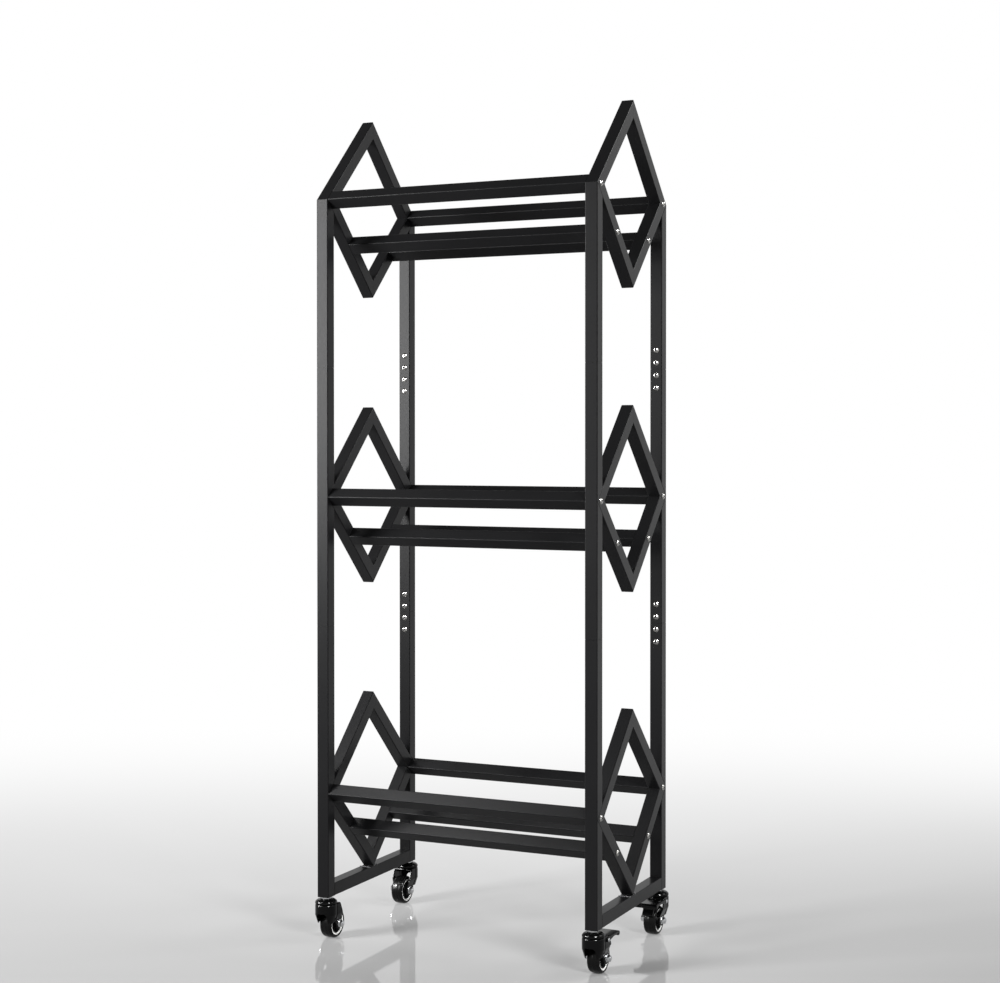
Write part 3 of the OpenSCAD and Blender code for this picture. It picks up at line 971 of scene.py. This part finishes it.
@dataclass
class ButtonScrew:
    """A button head screw with a hexagon socket, cold headed and nickel plated."""

    head_d: float = 10.5
    head_h: float = 3.3
    rim_h: float = 0.25
    seat_bevel: float = 0.2
    socket_af: float = 4.0
    socket_depth: float = 2.0
    socket_lip: float = 0.35
    socket_bevel: float = 0.15
    socket_mouth: float = 0.2
    socket_gap: float = 0.05
    floor_share: float = 0.8
    floor_rise: float = 0.1
    punch_depth: float = 0.5
    thread_d: float = 6.0
    thread_bevel: float = 0.6
    steps: int = 36
    dome_rings: int = 6

    def dome(self, radius: float) -> float:
        """Returns the dome's height over the seat at a radius."""
        ball = ((self.head_d / 2) ** 2 + self.head_h ** 2) / (2 * self.head_h)
        return self.head_h - ball + math.sqrt(ball ** 2 - radius ** 2)

    def outline(self, length: float) -> Callable[[float], Profile]:
        """Gives the screw's outline round its axis, from the socket's floor to the tip.

        Args:
            length: Length of the shank under the head.

        Returns:
            A function from the angle to the outline.
        """
        def at(angle: float) -> Profile:
            wall = hex_radius(angle, self.socket_af)
            lip = self.socket_af / math.sqrt(3) + self.socket_lip
            floor = self.head_h - self.socket_depth
            points = [
                (0.0, floor - self.punch_depth), (wall * self.floor_share, floor),
                (wall, floor + self.floor_rise), (wall, self.dome(lip) - self.socket_mouth),
                (wall + self.socket_bevel, self.dome(lip))]
            head = self.head_d / 2
            edge = head - self.rim_h
            for i in range(self.dome_rings + 1):
                radius = lip + (edge - lip) * math.sin(i / self.dome_rings * math.pi / 2)
                points.append((radius, self.dome(radius)))
            thread = self.thread_d / 2
            return points + [
                (head, self.rim_h), (head - self.seat_bevel, 0.0), (thread, 0.0),
                (thread, self.thread_bevel - length), (thread - self.thread_bevel, -length),
                (0.0, -length)]
        return at

    def sample(self, length: float) -> Object:
        """Makes one screw at the origin with its head along Z, to be repeated.

        Args:
            length: Length of the shank under the head.

        Returns:
            The screw's object.
        """
        shape = Shape().revolve(self.outline(length), self.steps, Matrix(), closed=False)
        screw = shape.finished("screw_sample", BrightNickel())
        wall = (self.socket_af / math.sqrt(3) + self.socket_gap) * MM
        lip = (self.head_h - self.rim_h) * MM
        # Marks the faces inside the socket, which get the painted shade of the recess.
        inside = [math.hypot(*face.center[:2]) < wall and 0 < face.center.z < lip
                  for face in screw.data.polygons]
        socket = screw.data.attributes.new("socket", "BOOLEAN", "FACE")
        socket.data.foreach_set("value", inside)
        return screw


@dataclass
class Fasteners:
    """The rail bolts through the end frames and the screws at the post seams."""

    screw: ButtonScrew = field(default_factory=ButtonScrew)
    rail_bolt_l: float = 37.0
    seam_screw_l: float = 10.0
    seam_pitch: float = 22.0
    seam_rows: tuple[float, ...] = (-1.5, -0.5, 0.5, 1.5)
    seed: int = 11

    def tree(self) -> NodeTree:
        """Builds the tree that sets a screw on each point, each turned its own way."""
        tree, given = geometry_tree("screws_on_points", {
            "Screw": "NodeSocketObject", "Seed": "NodeSocketInt",
            "Finish": "NodeSocketMaterial", "Socket finish": "NodeSocketMaterial"})
        aim = add_node(tree, "GeometryNodeInputNamedAttribute", {"Name": "aim"},
                       data_type="FLOAT_VECTOR")
        facing = add_node(tree, "FunctionNodeAlignRotationToVector", {
            "Vector": aim.outputs["Attribute"]}, axis="Z")
        angle = add_node(tree, "FunctionNodeRandomValue", {
            "Seed": given["Seed"], 2: 0.0, 3: TURN}, data_type="FLOAT")
        spin = add_node(tree, "FunctionNodeAxisAngleToRotation", {
            "Axis": (0.0, 0.0, 1.0), "Angle": angle.outputs[1]})
        turned = add_node(tree, "FunctionNodeRotateRotation", {
            "Rotation": facing.outputs["Rotation"], "Rotate By": spin.outputs["Rotation"]},
            rotation_space="LOCAL")
        sample = add_node(tree, "GeometryNodeObjectInfo", {"Object": given["Screw"]})
        screws = copies(tree, given["Geometry"], sample.outputs["Geometry"],
                        turned.outputs["Rotation"])
        # The socket's faces get the painted socket shade, a dark grey for the shade in the recess.
        close_tree(tree, screws, given["Finish"], {"socket": given["Socket finish"]})
        return tree

    def rail_spots(self) -> list[tuple[Vector, Vector]]:
        """Returns the seats of the rail bolts: both ends of every rail's axis."""
        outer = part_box("right_top_diamond")[1].x
        spots = []
        for name in sorted(frame["nodes"]):
            if name.endswith("_rail"):
                middle = sum(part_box(name), Vector()) / 2
                for side in Side:
                    aim = Vector((side.value, 0, 0))
                    spots.append((Vector((side.value * outer, middle.y, middle.z)), aim))
        return spots

    def seam_spots(self) -> list[tuple[Vector, Vector]]:
        """Returns the seats of the seam screws, on the posts' faces inside the rack."""
        spots = []
        for side in Side:
            for row in Row:
                post = f"{side.name}_{row.name}".lower()
                for lower, upper in (("bottom", "middle"), ("middle", "top")):
                    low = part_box(f"{post}_{lower}_post")
                    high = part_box(f"{post}_{upper}_post")
                    seam = (low[1].z + high[0].z) / 2
                    inner = low[1].y if row is Row.FRONT else low[0].y
                    for step in self.seam_rows:
                        spot = Vector(((low[0].x + low[1].x) / 2, inner,
                                       seam + step * self.seam_pitch * MM))
                        spots.append((spot, Vector((0, -row.value, 0))))
        return spots

    def build(self) -> None:
        """Builds both groups of screws in place of their CAD nodes."""
        tree = self.tree()
        groups = {"rail_bolts": (self.rail_spots(), self.rail_bolt_l),
                  "seam_screws": (self.seam_spots(), self.seam_screw_l)}
        for node, (spots, length) in groups.items():
            sample = self.screw.sample(length)
            # The sockets get painted shade: a dark grey on the faces inside them.
            piece = grown("nickel_" + node, aimed_points(spots), tree, {
                "Screw": sample, "Seed": self.seed, "Finish": BrightNickel().material(),
                "Socket finish": SocketShadePaint().material()})
            bpy.data.objects.remove(sample)
            hand_over(piece, node)


def put_on(piece: Object, node: str) -> None:
    """Lets a piece ride on a CAD node's body.

    Args:
        piece: The finished piece.
        node: The CAD node whose body carries it.
    """
    body = frame["nodes"][node]["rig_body"]
    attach(piece, body)
    LOG.info("built %s on %s: %d faces", piece.name, body, len(piece.data.polygons))


def hand_over(piece: Object, node: str) -> None:
    """Lets a piece stand for a CAD node, which is hidden, and ride on its body."""
    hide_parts(node)
    put_on(piece, node)


def post_foot(side: Side, row: Row) -> Vector:
    """Returns the middle of a post's lower end, in metres."""
    low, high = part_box(f"{side.name}_{row.name}_bottom_post".lower())
    return Vector(((low.x + high.x) / 2, (low.y + high.y) / 2, low.z))


@dataclass
class StemAndRace:
    """What is fixed under the posts: stems, ball races and their rings of balls.

    The rivet's dome is given as shares of its radius, each with a height. The race's rolled
    shoulder is given as places in from its rim and down from its boss, each with a fillet.
    """

    stem_d: float = 10.0
    stem_l: float = 26.0
    stem_bevel: float = 1.0
    collar_af: float = 17.0
    collar_h: float = 3.0
    rivet_r: float = 7.5
    rivet_h: float = 2.5
    rivet_gap: float = 0.3
    rivet_dome: Profile = ((0.55, 0.1), (0.9, 0.8), (1.0, 1.4))
    race_r: float = 19.0
    race_flat_r: float = 11.0
    boss_h: float = 1.1
    boss_in: float = 1.0
    rim_bevel: Point = (0.6, 0.5)
    race_shoulder: tuple[tuple[float, ...], ...] = (
        (4.2, 1.5, 4.0), (1.4, 3.6, 5.0), (0.0, 5.2, 3.2))
    bore_r: float = 5.05
    ball_d: float = 4.0
    ball_ring_r: float = 13.5
    ball_gap: float = 0.3
    track_rise: float = 0.6
    track_flat: float = 1.2
    ball_segments: int = 20
    ball_rings: int = 12
    balls: int = 12
    steps: int = 72

    def posts(self) -> list[Vector]:
        """Returns the middle of each post's lower end."""
        return [post_foot(side, row) for side in Side for row in Row]

    def build(self) -> None:
        """Builds the stems, the races and the balls of all four casters."""
        crown_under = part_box("caster_stems")[0].z + (self.rivet_h + self.rivet_gap) * MM
        race_low, race_top = (corner.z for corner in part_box("caster_races"))
        ball_z = sum(corner.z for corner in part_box("swivel_balls")) / 2
        stems, races = Shape(), Shape()
        for post in self.posts():
            place = along("Z", Vector((post.x, post.y, 0)))
            self.add_stem(stems, place, post.z / MM, crown_under / MM, race_top / MM)
            self.add_race(races, place, race_low / MM, race_top / MM, ball_z / MM)
        hand_over(stems.finished("zinc_caster_stems", BrightZinc()), "caster_stems")
        hand_over(races.finished("drawn_race_cups", DippedEnamel()),
                  "caster_races")
        self.build_balls(ball_z)

    def add_stem(self, shape: Shape, place: Matrix, foot: float, under: float,
                 collar: float) -> None:
        """Adds a threaded stem, its hexagon collar and the rivet head under the crown.

        Args:
            shape: The shape that gets it.
            place: From the swivel axis to the rack's frame.
            foot: Height of the post's lower end.
            under: Height of the crown's lower face.
            collar: Height of the collar's seat on the race.
        """
        stem = self.stem_d / 2
        tip = foot + self.stem_l
        low = under - self.rivet_h - self.rivet_gap
        dome = [(self.rivet_r * share, low + rise) for share, rise in self.rivet_dome]
        shape.revolve([
            (0.0, low), *dome, (self.rivet_r, low + self.rivet_h), (stem, low + self.rivet_h),
            (stem, tip - self.stem_bevel), (stem - self.stem_bevel, tip), (0.0, tip)],
            self.steps, place, closed=False)
        shape.revolve(chamfered_hex(self.collar_af, collar, collar + self.collar_h, stem),
                      self.steps, place)

    def add_race(self, shape: Shape, place: Matrix, low: float, top: float, ball_z: float) -> None:
        """Adds a drawn race cup: raised boss, rolled shoulder and the balls' track.

        Args:
            shape: The shape that gets it.
            place: From the swivel axis to the rack's frame.
            low: Height of its lower rim.
            top: Height of its boss.
            ball_z: Height of the balls' centres.
        """
        track = self.ball_d / 2 + self.ball_gap
        ring, side = self.ball_ring_r, ball_z + self.track_rise
        outer, (in_w, up_h) = self.race_r, self.rim_bevel
        shoulder = [(outer - inward, top - down, fillet)
                    for inward, down, fillet in self.race_shoulder]
        shape.revolve(filleted([
            (self.bore_r, low), (self.bore_r, top, 0.2),
            (self.race_flat_r - self.boss_in, top, 0.8),
            (self.race_flat_r, top - self.boss_h, 0.6),
            *shoulder, (outer, low + up_h, 0.4), (outer - in_w, low, 0.2),
            (ring + track, low), (ring + track, side, 0.5),
            (ring + self.track_flat, ball_z + track, 0.6),
            (ring - self.track_flat, ball_z + track, 0.6),
            (ring - track, side, 0.5), (ring - track, low)]),
            self.steps, place)

    def ball_tree(self) -> NodeTree:
        """Builds the tree that sets a ring of balls round each point."""
        tree, given = geometry_tree("rings_of_balls", {
            "Ball radius": "NodeSocketFloat", "Ring radius": "NodeSocketFloat",
            "Balls": "NodeSocketInt", "Finish": "NodeSocketMaterial"})
        ring = add_node(tree, "GeometryNodeMeshCircle", {
            "Vertices": given["Balls"], "Radius": given["Ring radius"]})
        ball = add_node(tree, "GeometryNodeMeshUVSphere", {
            "Segments": self.ball_segments, "Rings": self.ball_rings,
            "Radius": given["Ball radius"]})
        balls = copies(tree, ring.outputs["Mesh"], ball.outputs["Mesh"])
        close_tree(tree, copies(tree, given["Geometry"], balls), given["Finish"])
        return tree

    def build_balls(self, ball_z: float) -> None:
        """Builds the rings of balls.

        Args:
            ball_z: Height of the balls' centres, in metres.
        """
        up = Vector((0, 0, 1))
        spots = [(Vector((post.x, post.y, ball_z)), up) for post in self.posts()]
        piece = grown("hardened_swivel_balls", aimed_points(spots), self.ball_tree(), {
            "Ball radius": self.ball_d / 2 * MM, "Ring radius": self.ball_ring_r * MM,
            "Balls": self.balls, "Finish": BrightZinc().material()})
        hand_over(piece, "swivel_balls")


@dataclass
class Wheel:
    """A caster's wheel: cast tread, pale rim ring and a ribbed nylon core.

    Bevels and beads are given as a width along the radius and one along the axle, and the
    ribs' two ends as how far they lie inside the barrel's radius and the ring's.
    """

    name: str
    radius: float = 25.0
    rim_r: float = 20.0
    ring_in_r: float = 17.0
    half: float = 11.0
    hub_half: float = 12.0
    barrel_r: float = 7.5
    bore_r: float = 3.05
    shoulder: float = 4.0
    shoulder_roll: Point = (1.4, 0.8)
    crest_drop: float = 0.08
    tread_bevel: Point = (0.3, 0.4)
    parting_w: float = 0.35
    parting_h: float = 0.05
    ring_in: float = 1.0
    ring_bead: Point = (0.8, 0.6)
    band_in: float = 2.0
    band_t: float = 1.6
    draft: float = 0.4
    fit: float = 0.02
    web_half: float = 3.0
    ribs: int = 10
    rib_w: float = 1.6
    rib_taper: float = 0.8
    rib_sunk: Point = (0.5, 1.0)
    rib_half: float = 6.5
    rib_bevel: float = 0.35
    steps: int = 96

    def place(self) -> Matrix:
        """Returns the place of the wheel's own frame, with its axle along Z."""
        low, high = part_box(self.name + "_tyre")
        return along("X", (low + high) / 2)

    def build(self) -> None:
        """Builds the tread for the CAD tyre, and the ring and core for the CAD hub."""
        place = self.place()
        tread = Shape().revolve(self.tread_outline(), self.steps, place)
        hand_over(tread.finished(self.name + "_cast_tread", CastPolyurethane()),
                  self.name + "_tyre")
        ring = Shape().revolve(self.ring_outline(), self.steps, place)
        hand_over(ring.finished(self.name + "_rim_ring", MouldedPolypropylene()),
                  self.name + "_hub")
        rib = self.rib_sample()
        core = grown(self.name + "_nylon_core", self.core_mesh(), self.rib_tree(),
                     {"Rib": rib, "Ribs": self.ribs, "Finish": MouldedNylon().material()})
        bpy.data.objects.remove(rib)
        core.data.transform(place)
        hand_over(core, self.name + "_hub")

    def tread_outline(self) -> list[Point]:
        """Returns the tread's section, with rolled shoulders and a fine parting line."""
        half, top, line = self.half, self.radius, self.parting_w
        (up, inward), (down, roll_in) = self.tread_bevel, self.shoulder_roll
        return filleted(mirrored([
            (self.rim_r, -half + inward, 0.2), (self.rim_r + up, -half, 0.2),
            (top - self.shoulder, -half, 0.5), (top - down, -half + roll_in, 1.6),
            (top - self.crest_drop, self.shoulder - half, 2.6), (top - self.parting_h, -line),
            (top, -line / 2)]))

    def ring_outline(self) -> list[Point]:
        """Returns the rim ring's section, with a bead at each outer edge."""
        half, outer, (up, inward) = self.half - self.ring_in, self.rim_r - self.fit, self.ring_bead
        return filleted(mirrored([
            (self.ring_in_r, -half + inward, 0.3), (self.ring_in_r + up, -half, 0.5),
            (outer, -half, 0.2)]))

    def core_mesh(self) -> Mesh:
        """Returns the core in the wheel's own frame: barrel, web and rim band."""
        band, web, wide = self.ring_in_r - self.fit, self.web_half, self.half - self.band_in
        shape = Shape().revolve(filleted(mirrored([
            (self.bore_r, -self.hub_half, 0.3), (self.barrel_r, -self.hub_half, 0.6),
            (self.barrel_r + self.draft, -web, 1.0),
            (band - self.band_t - self.draft, -web, 1.0),
            (band - self.band_t, -wide, 0.3), (band, -wide, 0.3)])),
            self.steps, Matrix())
        core = shape.finished("core", MouldedNylon())
        mesh = core.data
        bpy.data.objects.remove(core)
        return mesh

    def rib_sample(self) -> Object:
        """Returns one rib from the barrel to the rim band, on both sides of the web."""
        inner, outer = self.barrel_r - self.rib_sunk[0], self.ring_in_r - self.rib_sunk[1]
        half = self.rib_w / 2
        thin = half * self.rib_taper
        outline = [(inner, -half), (outer, -thin), (outer, thin), (inner, half)]
        shape = Shape().prism(outline, -self.rib_half, self.rib_half, self.rib_bevel)
        return shape.finished("rib_sample", MouldedNylon())

    def rib_tree(self) -> NodeTree:
        """Builds the tree that sets ribs round the core's axis."""
        known = bpy.data.node_groups.get("ribbed_core")
        if known is not None:
            return known
        tree, given = geometry_tree("ribbed_core", {
            "Rib": "NodeSocketObject", "Ribs": "NodeSocketInt",
            "Finish": "NodeSocketMaterial"})
        points = add_node(tree, "GeometryNodePoints", {"Count": given["Ribs"]})
        number = add_node(tree, "GeometryNodeInputIndex").outputs["Index"]
        share = combined(tree, "DIVIDE", number, given["Ribs"])
        turn = add_node(tree, "FunctionNodeAxisAngleToRotation", {
            "Axis": (0.0, 0.0, 1.0), "Angle": combined(tree, "MULTIPLY", share, TURN)})
        sample = add_node(tree, "GeometryNodeObjectInfo", {"Object": given["Rib"]})
        ribs = copies(tree, points.outputs["Points"], sample.outputs["Geometry"],
                      turn.outputs["Rotation"])
        joined = add_node(tree, "GeometryNodeJoinGeometry")
        tree.links.new(given["Geometry"], joined.inputs["Geometry"])
        tree.links.new(ribs, joined.inputs["Geometry"])
        close_tree(tree, joined.outputs["Geometry"], given["Finish"])
        return tree


@dataclass
class Caster:
    """One swivel caster: pressed fork, wheel, axle bolt and, if it has one, its brake.

    The pin's dome is given as shares of its head's radius, each with a depth. The pressing
    values are the merging distance, voxel, smoothing passes, faces and crease of sheet steel.
    """

    side: Side
    row: Row
    axle_d: float = 6.0
    axle_af: float = 10.0
    axle_bevel: float = 0.6
    leg_out: float = 14.6
    axle_end: float = 8.0
    head_cover: float = 0.5
    nut_in: float = 1.0
    washer_t: float = 1.5
    washer_rim: float = 0.8
    pin_share: float = 1.6
    pin_head_h: float = 1.2
    pin_dome: Profile = ((0.5, 0.12), (0.85, 0.45), (1.0, 0.8))
    pressing_merge: float = 0.001
    pressing_voxel: float = 0.45
    pressing_passes: int = 5
    pressing_faces: int = 36000
    pressing_crease: float = 60.0
    crown_r: float = 19.0
    crown_gap: float = 0.3
    shoulder_w: float = 3.6
    shoulder_passes: int = 26
    steps: int = 72

    @property
    def name(self) -> str:
        """Returns the caster's name, such as front_left."""
        return f"{self.row.name}_{self.side.name}".lower()

    def build(self) -> None:
        """Builds every piece of the caster in place of its CAD nodes."""
        self.press(self.name + "_fork")
        self.build_axle()
        Wheel(self.name).build()
        if self.name + "_brake_pedal" in frame["nodes"]:
            self.press(self.name + "_brake_pedal")
            self.build_pin()

    def press(self, node: str) -> None:
        """Softens a CAD node as sheet steel is by its press: every edge is rounded.

        Args:
            node: The CAD node, which is copied and stays as it is.
        """
        merged = bmesh.new()
        merged.from_mesh(frame["nodes"][node].data)
        bmesh.ops.remove_doubles(merged, verts=merged.verts, dist=self.pressing_merge * MM)
        mesh = bpy.data.meshes.new(node)
        merged.to_mesh(mesh)
        merged.free()
        raw = linked(bpy.data.objects.new(node + ".raw", mesh))
        modify(raw, "REMESH", mode="VOXEL", voxel_size=self.pressing_voxel * MM)
        modify(raw, "SMOOTH", factor=0.5, iterations=self.pressing_passes)
        dense = settled(raw)
        thinned = linked(bpy.data.objects.new(node + ".dense", dense))
        shoulder = thinned.vertex_groups.new(name="shoulder")
        shoulder.add(self.shoulder(dense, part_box(node)[1].z), 1.0, "REPLACE")
        modify(thinned, "SMOOTH", factor=0.5, iterations=self.shoulder_passes,
               vertex_group=shoulder.name)
        modify(thinned, "DECIMATE",
               ratio=min(1.0, self.pressing_faces / max(1, len(dense.polygons) * 2)))
        piece = wrapped("pressed_" + node, settled(thinned), DippedEnamel(), self.pressing_crease)
        hand_over(piece, node)

    def shoulder(self, mesh: Mesh, top: float) -> list[int]:
        """Finds a pressing's upper rim round the swivel axis, which is rolled more softly.

        Args:
            mesh: The pressing's dense mesh.
            top: Height of the pressing's top in metres.

        Returns:
            Numbers of the rim's vertices.
        """
        post = post_foot(self.side, self.row)
        low = top - self.shoulder_w * MM
        inner = (self.crown_r - self.shoulder_w) * MM
        outer = (self.crown_r + self.crown_gap) * MM
        return [v.index for v in mesh.vertices if v.co.z > low
                and inner < math.hypot(v.co.x - post.x, v.co.y - post.y) < outer]

    def build_axle(self) -> None:
        """Builds the axle: a headed bolt, two washers and a nut with the thread's end."""
        low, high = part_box(self.name + "_axle")
        place = along("X", (low + high) / 2)
        far = self.leg_out + self.axle_end
        seat = self.leg_out + self.washer_t
        shank, bevel = self.axle_d / 2, self.axle_bevel
        shape = Shape()
        shape.revolve([
            (0.0, self.head_cover - far), (shank, self.head_cover - far), (shank, far - bevel),
            (shank - bevel, far), (0.0, far)], self.steps, place, closed=False)
        flip = place @ Matrix.Rotation(math.pi, 4, "X")
        shape.revolve(chamfered_hex(self.axle_af, seat, far), self.steps, flip, closed=False)
        shape.revolve(chamfered_hex(self.axle_af, seat, far - self.nut_in, shank),
                      self.steps, place)
        washer_r = self.axle_af / math.sqrt(3) + self.washer_rim
        for turn in (place, flip):
            shape.revolve(filleted([
                (shank, self.leg_out), (washer_r, self.leg_out, 0.3),
                (washer_r, seat, 0.5), (shank, seat)]), self.steps, turn)
        hand_over(shape.finished(self.name + "_axle_bolt", BrightZinc()),
                  self.name + "_axle")

    def build_pin(self) -> None:
        """Builds the brake's pin with a riveted dome at each end."""
        low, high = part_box(self.name + "_brake_pin")
        half = (high.x - low.x) / 2 / MM
        head_r = (high.z - low.z) / 2 / MM
        seat = half - self.pin_head_h
        dome = [(head_r * share, half - depth) for share, depth in self.pin_dome]
        outline = mirrored([(0.0, half), *dome, (head_r, seat), (head_r / self.pin_share, seat)])
        shape = Shape().revolve(outline, self.steps, along("X", (low + high) / 2), closed=False)
        hand_over(shape.finished(self.name + "_riveted_pin", BrightZinc()),
                  self.name + "_brake_pin")


def main() -> None:
    """Builds the studio and dresses the rack, sub-assembly by sub-assembly."""
    logging.basicConfig(level=logging.INFO, format="%(message)s")
    studio = Studio()
    studio.build()
    tubes = TubeFrame()
    tubes.dress()
    tubes.weld()
    Fasteners().build()
    StemAndRace().build()
    for side in Side:
        for row in Row:
            Caster(side, row).build()
    studio.light()


if __name__ == "__main__":
    main()
